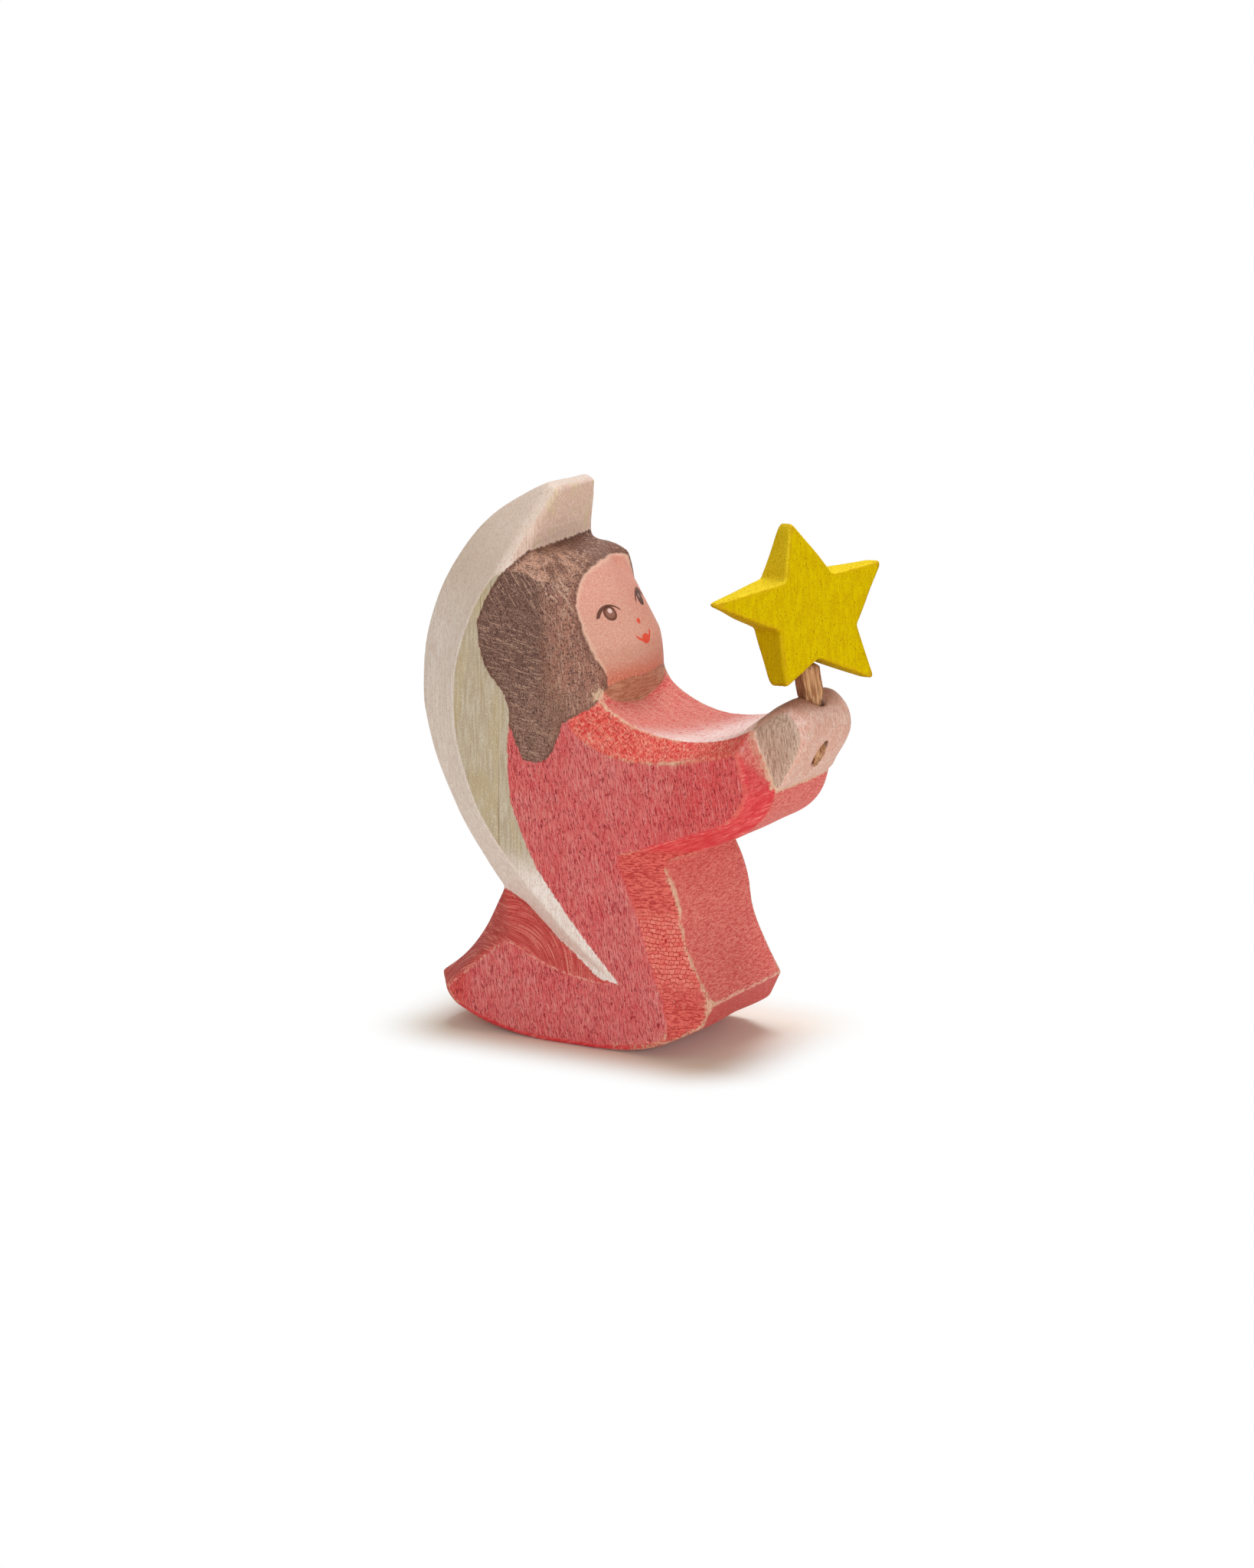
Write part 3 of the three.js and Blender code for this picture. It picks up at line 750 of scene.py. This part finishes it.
def wing_flats(stain):
    """The flat sides of the wing, where the grain of the board shows through in long lines."""
    fibre = stain.grain((0.4, 0.5, 3.5), 81, 3)
    cloud = stain.step(stain.grain((2, 3, 7), 66, 3), 0.46, 0.6)
    thin = stain.two_tone(fibre, 0.35, 0.65, colour(184, 168, 144), colour(202, 190, 170))
    thin = stain.lay(thin, colour(200, 180, 134), cloud, 0.35)
    thin = stain.flecked(thin, colour(160, 138, 96), 0.25, (0.16, 0.5, 7), 67, 0.57, 0.67)
    return stain.flecked(thin, colour(146, 116, 76), 0.6, (0.5, 0.8, 40), 16, 0.65, 0.7)


def skin_stain(stain):
    """Thin flesh stain, pinker on the forehead and browner under the chin."""
    fibre = stain.step(stain.grain((0.3, 0.3, 2), 17, 2), 0.45, 0.7)
    flesh = stain.mix(stain.where(FOREHEAD), colour(210, 158, 138), colour(216, 158, 140))
    flesh = stain.lay(flesh, colour(208, 134, 112), stain.where(FAR_CHEEK), 0.5)
    flesh = stain.lay(flesh, colour(202, 116, 90), stain.where(CHIN))
    flesh = stain.lay(flesh, colour(210, 138, 120), fibre, 0.3)
    flesh = stain.flecked(flesh, colour(198, 108, 94), 0.55, (0.16, 0.16, 0.2), 71, 0.55, 0.66)
    return stain.flecked(flesh, colour(242, 212, 196), 0.38, (0.15, 0.15, 0.18), 28, 0.55, 0.66)


def shaded_neck_stain(stain):
    """The hollow under the chin: skin darkened to brown as painted shade, with lines across."""
    line = stain.grain((3, 2, 0.25), 21)
    wash = stain.two_tone(line, 0.36, 0.64, colour(170, 110, 84), colour(196, 142, 114))
    return stain.flecked(wash, colour(140, 84, 62), 0.5, (0.15, 0.3, 0.15), 72, 0.58, 0.68)


def hand_stain(stain):
    """Nearly bare hands: a greyish grain on the flat sides, pinker in front, and browner on top as painted
    shade under the star.
    """
    fibre = stain.grain((0.18, 0.3, 1.8), 18, 2, SIDE_LEAN)
    cloud = stain.step(stain.grain((2, 2, 2), 73, 2), 0.42, 0.62)
    front = stain.two_tone(fibre, 0.35, 0.65, colour(216, 168, 154), colour(234, 200, 188))
    front = stain.lay(front, colour(214, 150, 126), cloud, 0.4)
    side = stain.two_tone(fibre, 0.35, 0.65, colour(164, 134, 116), colour(208, 180, 162))
    bare = stain.mix(stain.where(HAND_SIDES), front, side)
    # Painted shade: the top of the hands is darkened where the star and stick hang over it
    bare = stain.lay(bare, colour(156, 102, 78), stain.where(SHADED_HAND_TOP), 0.8)
    bare = stain.flecked(bare, colour(150, 100, 82), 0.5, (0.15, 0.15, 0.4), 74, 0.58, 0.68, SIDE_LEAN)
    return stain.flecked(bare, colour(236, 210, 194), 0.4, (0.14, 0.14, 0.2), 75, 0.57, 0.68)


def round_spot(stain, across, height, place, radii, blur):
    """1 inside an ellipse on the face and 0 outside it."""
    aside = stain.math("DIVIDE", stain.math("SUBTRACT", across, place[0]), radii[0])
    above = stain.math("DIVIDE", stain.math("SUBTRACT", height, place[1]), radii[1])
    return stain.step(stain.distance(aside, above), 1 + blur, 1 - blur)


def paint_face(stain, skin):
    """Two eyes, a dot for the nose and a small smile, drawn with a brush and slightly askew."""
    aside = stain.math("SUBTRACT", stain.y, FACE_MIDDLE)
    lean = stain.math("ADD", aside, LID_CENTRE[0])
    height = stain.math("SUBTRACT", stain.z, stain.product(lean, FACE_TILT))
    return draw_mouth(stain, draw_eyes(stain, skin, aside, height), aside, height)


def draw_eyes(stain, skin, aside, height):
    """A round iris with a lighter pupil and a glint in each eye, under an arched lid."""
    across = stain.math("ABSOLUTE", aside)
    far = stain.step(aside, 0, 1)
    iris_brown = stain.mix(far, colour(88, 44, 28), colour(40, 14, 8))
    iris = round_spot(stain, across, height, IRIS_CENTRE, IRIS_RADII, 0.06)
    pupil = round_spot(stain, across, height, IRIS_CENTRE, PUPIL_RADII, 0.15)
    pupil = stain.product(pupil, stain.scale(far, 1, FAR_PUPIL_SHARE))
    glint = round_spot(stain, across, height, GLINT_CENTRE, GLINT_RADII, 0.25)
    glint = stain.product(glint, stain.scale(far, 1, FAR_PUPIL_SHARE))
    drawn = stain.lay(skin, iris_brown, iris, stain.scale(pupil, 0.92, 0.7))
    drawn = stain.lay(drawn, colour(238, 206, 198), glint, 0.85)
    return stain.lay(drawn, colour(84, 46, 36), eyelid(stain, across, height, far), 0.92)


def eyelid(stain, across, height, far):
    """An arc over the eye that thickens outwards."""
    from_centre = stain.distance(
        stain.math("SUBTRACT", across, LID_CENTRE[0]), stain.math("SUBTRACT", height, LID_CENTRE[1]))
    width = stain.scale(stain.step(across, LID_INNER, LID_OUTER), *LID_WIDTHS)
    width = stain.product(width, stain.scale(far, 1, FAR_LID_SHARE))
    within = stain.math("SUBTRACT", width, stain.gap(from_centre, LID_RADIUS))
    return stain.product(
        stain.step(within, -BRUSH_BLUR, BRUSH_BLUR),
        stain.step(height, LID_LOWEST, LID_LOWEST + 0.2),
        stain.step(across, LID_INNER, LID_INNER + 0.3))


def draw_mouth(stain, drawn, aside, height):
    """A dot for the nose, and a curved smile with a fuller spot in its middle."""
    red = colour(218, 62, 34)
    nose = round_spot(stain, aside, height, NOSE_PLACE, NOSE_RADII, 0.2)
    lip = round_spot(stain, aside, height, LIP_PLACE, LIP_RADII, 0.12)
    mouth_aside = stain.math("SUBTRACT", aside, MOUTH_MIDDLE)
    curve = stain.math("MULTIPLY_ADD", stain.product(mouth_aside, mouth_aside), SMILE_CURVE, SMILE_HEIGHT)
    smile = stain.product(
        stain.step(stain.gap(height, curve), SMILE_WIDTH + BRUSH_BLUR, SMILE_WIDTH - BRUSH_BLUR),
        stain.step(stain.math("ABSOLUTE", mouth_aside), SMILE_REACH + 0.1, SMILE_REACH - 0.1))
    drawn = stain.lay(drawn, red, nose, 0.85)
    return stain.lay(drawn, red, stain.most(smile, lip), 0.9)


def worn_edges(stain, patches, kept_paint):
    """Where sanding took the paint off the edges, in crumbs and patches."""
    crumbs = stain.grain((0.3, 0.3, 0.4), 24, 2)
    more = stain.most(stain.where(WORN_ARM), stain.where(WORN_KNEE))
    edge = stain.number("edge")
    for share, amount in ((patches, 0.05), (crumbs, 0.06), (more, 0.015)):
        edge = stain.math("MULTIPLY_ADD", share, amount, edge)
    return stain.product(stain.step(edge, 0.085, 0.11), stain.outside(kept_paint))


def painted_wood():
    """The figure's zones of stain, with ragged brush edges and bare wood where the edges are worn."""
    stain = Stain("stained_figure")
    rag = stain.grain((0.5, 0.5, 0.9), 20, 2)

    def inside(name, ragged):
        return stain.math("ADD", stain.number(name), stain.scale(rag, -ragged, ragged))

    def zone(name, ragged=0.35, blur=0.1):
        return stain.step(inside(name, ragged), -blur, blur)

    bare = wood_ground(stain)
    hair = stain.lay(hair_stain(stain), colour(96, 58, 46), stain.step(inside("hair", 0.4), 0.7, 0.1), 0.45)
    pale_line = stain.product(stain.step(inside("face", 0.4), 0.5, 0.1), stain.where(BESIDE_THE_HAIR))
    skin = stain.lay(skin_stain(stain), colour(228, 192, 168), pale_line, 0.6)
    cuff_line = stain.step(stain.math("ABSOLUTE", inside("hand", 0.5)), 0.4, 0.15)
    cuff_cover = stain.scale(stain.step(stain.z, *CUFF_LINE_HEIGHTS), 0.4, 0.8)
    base = stain.mix(zone("head"), dress_stain(stain), hair)
    base = stain.mix(zone("wing"), base, wing_stain(stain))
    # The hollow under the chin, painted brown as shade
    base = stain.mix(zone("neck", 0.2, 0.25), base, shaded_neck_stain(stain))
    base = stain.mix(zone("face", 0.2, 0.15), base, paint_face(stain, skin))
    base = stain.mix(zone("hand", 0.2), base, hand_stain(stain))
    base = stain.lay(base, bare, cuff_line, cuff_cover)
    patches = stain.grain((1.2, 1.2, 2), 22, 3)
    kept_hair = stain.product(zone("hair"), 0.88)
    kept_sleeve = stain.product(stain.where(KEPT_SLEEVE), 0.85)
    kept_paint = stain.most(kept_hair, zone("face"), zone("neck"), kept_sleeve, stain.where(KEPT_HOLLOW))
    worn = stain.most(worn_edges(stain, patches, kept_paint), zone("collar_corner", 1.2, 0.3))
    # The colour of worn edges: bare wood, paler on the wing
    wear_and_sheen = stain.mix(zone("wing"), bare, colour(236, 218, 184))
    base = stain.lay(base, wear_and_sheen, worn, stain.scale(zone("wing"), 0.75, 0.45))
    relief = stain.grain((0.25, 0.4, 1.8), 23, 3)
    return stain.finish(base, stain.scale(patches, 0.5, 0.75), relief, 0.06, 0.15)


def yellow_wood():
    """Mustard stain with fine dark pores, sawn sides speckled with painted light above and painted shade
    below, and soft brown edges.
    """
    stain = Stain("stained_star")
    fibre = stain.grain((0.4, 0.5, 3.5), 31, 3)
    base = stain.two_tone(fibre, 0.35, 0.65, colour(206, 173, 0), colour(216, 188, 0))
    base = stain.flecked(base, colour(230, 206, 20), 0.4, (0.14, 0.14, 0.16), 34, 0.56, 0.68)
    base = stain.flecked(base, colour(176, 134, 10), 0.6, (0.15, 0.15, 0.2), 35, 0.57, 0.66)
    base = stain.flecked(base, colour(160, 120, 14), 0.3, (0.12, 0.3, 6), 36, 0.64, 0.69)
    base = stain.flecked(base, colour(108, 66, 12), 0.7, (0.2, 0.2, 0.34), 32, 0.7, 0.74)
    sawn = stain.grain((0.35, 0.35, 0.2), 37, 1)
    lit_upper_side = stain.where(STAR_SIDES + LIT_FACING_UP)
    shaded_lower_side = stain.where(STAR_SIDES + SHADED_FACING_DOWN)
    # Painted light on the upper sides of the star and painted shade on its lower sides
    base = stain.lay(base, colour(255, 226, 50), lit_upper_side, stain.step(sawn, 0.26, 0.56), 0.9)
    base = stain.lay(base, colour(164, 116, 0), shaded_lower_side, stain.step(sawn, 0.65, 0.4), 0.7)
    patches = stain.grain((1, 1, 1.6), 33, 3)
    edge = stain.math("MULTIPLY_ADD", patches, 0.08, stain.number("edge"))
    base = stain.lay(base, colour(190, 128, 34), stain.step(edge, 0.07, 0.14), 0.4)
    return stain.finish(base, stain.scale(patches, 0.65, 0.85), fibre, 0.05, 0.02)


def bare_wood():
    """Split wood with a coarse dark grain along the stick."""
    stain = Stain("split_wood")
    fibre = stain.grain((0.3, 0.3, 7), 41, 3, -STICK_LEAN)
    pore = stain.step(stain.grain((0.14, 0.14, 1.6), 42, 1, -STICK_LEAN), 0.6, 0.7)
    base = stain.two_tone(fibre, 0.34, 0.64, colour(150, 98, 64), colour(208, 160, 118))
    base = stain.lay(base, colour(118, 52, 36), stain.where(STICK_BACK), 0.6)
    base = stain.lay(base, colour(88, 48, 32), pore, 0.7)
    return stain.finish(base, stain.scale(fibre, 0.55, 0.8), fibre, 0.08, 0.15)


# Pieces

def add_piece(piece, node, body, material):
    piece.data.materials.append(material)
    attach(piece, body)
    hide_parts(node)


def add_figure():
    figure = carved_copy("angel_figure", FIGURE_NAME, FIGURE_VOXEL)
    ends = edges_of(figure.data)
    sand(figure, ends, FIGURE_SANDING)
    mark_edges(figure.data, ends, FIGURE_EDGE_REACH)
    roughen(figure.data, *FIGURE_WAVES)
    mark_paint(figure.data, ends)
    add_piece(figure, "angel_figure", "figure", painted_wood())


def add_star():
    star = carved_copy("star", "carved_star", STAR_VOXEL)
    ends = edges_of(star.data)
    sand(star, ends, STAR_SANDING)
    mark_edges(star.data, ends, STAR_EDGE_REACH)
    roughen(star.data, *STAR_WAVES)
    normals = smoothed(normals_of(star.data), ends, DIRECTION_ROUNDS)
    turn = math.radians(STAR_TURN)
    store(star.data, "facing", np.abs(normals @ np.array([math.cos(turn), math.sin(turn), 0])))
    store(star.data, "upward", normals[:, 2])
    add_piece(star, "star", "star", yellow_wood())


def fit_ends(stick):
    """Carries the shaft's shoulder up to the star and the slanted foot out to the front of the hands."""
    points = points_of(stick.data)
    lean = math.radians(STICK_LEAN)
    axis = np.array([-math.sin(lean), 0, math.cos(lean)])
    from_grip = points - GRIP_PLACE
    height = from_grip @ axis
    radius = np.linalg.norm(from_grip - height[:, None] * axis, axis=1)
    shoulder = np.clip(SHOULDER_TOP - SHOULDER_SLOPE * radius - height, 0, None)
    shoulder *= (height > SHOULDER_START) & (radius > SHOULDER_INNER)
    foot = np.interp(height, FOOT_HEIGHTS, (FOOT_REACH, 0))
    set_points(stick.data, points + (shoulder - foot)[:, None] * axis)


def add_stick():
    stick = carved_copy("star_stick", "split_stick", STICK_VOXEL)
    ends = edges_of(stick.data)
    sand(stick, ends, STICK_SANDING)
    roughen(stick.data, *STICK_WAVES)
    store(stick.data, "backward", -smoothed(normals_of(stick.data), ends, DIRECTION_ROUNDS)[:, 0])
    fit_ends(stick)
    add_piece(stick, "star_stick", "stick", bare_wood())


# Studio

def add_camera():
    azimuth = math.radians(CAMERA_AZIMUTH)
    elevation = math.radians(CAMERA_ELEVATION)
    right = Vector((math.cos(azimuth), math.sin(azimuth), 0))
    level = Vector((math.sin(azimuth), -math.cos(azimuth), 0))
    back = level * math.cos(elevation) + Vector((0, 0, math.sin(elevation)))
    up = back.cross(right)
    camera = bpy.data.objects.new("camera", bpy.data.cameras.new("camera"))
    camera.data.lens = CAMERA_LENS
    camera.data.sensor_width = SENSOR_WIDTH
    place = back * CAMERA_DISTANCE + right * CAMERA_RIGHT + up * CAMERA_UP
    turn = Matrix((right, up, back)).transposed().to_4x4()
    camera.matrix_world = Matrix.Translation(place) @ turn
    bpy.context.scene.collection.objects.link(camera)
    bpy.context.scene.camera = camera


def add_world():
    """A warm dim sky that looks white where it is seen directly."""
    world = bpy.data.worlds.new("studio")
    world.use_nodes = True
    sky = Nodes(world.node_tree)
    glow = sky.mix(sky.seen(), (*[WORLD_LEVEL * part for part in WORLD_COLOUR], 1), WHITE)
    sky.feed(world.node_tree.nodes["Background"].inputs["Color"], glow)
    bpy.context.scene.world = world


def add_lamp(name, size, power, place):
    """A square softbox that points at the figure."""
    data = bpy.data.lights.new(name, "AREA")
    data.size = size
    data.energy = power
    data.color = LAMP_COLOUR
    lamp = bpy.data.objects.new(name, data)
    lamp.location = place
    aim = Vector(LAMP_AIM) - Vector(place)
    lamp.rotation_euler = aim.to_track_quat("-Z", "Y").to_euler()
    bpy.context.scene.collection.objects.link(lamp)


def floor_material():
    """White paper that takes the shadow near the figure and is plain white to the eye further out."""
    paper = Stain("paper")
    paper.tree.nodes.remove(paper.tree.nodes["Principled BSDF"])
    past_base = [
        paper.most(paper.math("SUBTRACT", paper.gap(axis, middle), half), 0)
        for axis, middle, half in zip((paper.x, paper.y), BASE_MIDDLE, BASE_HALF)]
    seen = paper.seen()
    outward = paper.step(paper.distance(*past_base), SHADOW_NEAR, SHADOW_FAR)
    matt = paper.add("ShaderNodeBsdfDiffuse")
    matt.inputs["Color"].default_value = PAPER_COLOUR
    glow = paper.add("ShaderNodeEmission")
    paper.feed(glow.inputs["Strength"], paper.product(seen, PAPER_GLOW))
    lit = paper.add("ShaderNodeAddShader")
    paper.feed(lit.inputs[0], matt.outputs["BSDF"])
    paper.feed(lit.inputs[1], glow.outputs["Emission"])
    white = paper.add("ShaderNodeEmission")
    blend = paper.add("ShaderNodeMixShader")
    paper.feed(blend.inputs["Fac"], paper.product(outward, seen))
    paper.feed(blend.inputs[1], lit.outputs["Shader"])
    paper.feed(blend.inputs[2], white.outputs["Emission"])
    paper.feed(paper.tree.nodes["Material Output"].inputs["Surface"], blend.outputs["Shader"])
    return paper.material


def add_floor():
    mesh = bpy.data.meshes.new("floor")
    sheet = bmesh.new()
    bmesh.ops.create_circle(sheet, cap_ends=True, radius=FLOOR_RADIUS, segments=FLOOR_SIDES)
    sheet.to_mesh(mesh)
    sheet.free()
    mesh.materials.append(floor_material())
    floor = bpy.data.objects.new("floor", mesh)
    bpy.context.scene.collection.objects.link(floor)


add_camera()
add_world()
add_lamp("front_softbox", FRONT_LAMP_SIZE, FRONT_LAMP_POWER, FRONT_LAMP_PLACE)
add_lamp("top_softbox", TOP_LAMP_SIZE, TOP_LAMP_POWER, TOP_LAMP_PLACE)
add_floor()
add_figure()
add_star()
add_stick()
bpy.context.scene.view_settings.view_transform = "Standard"
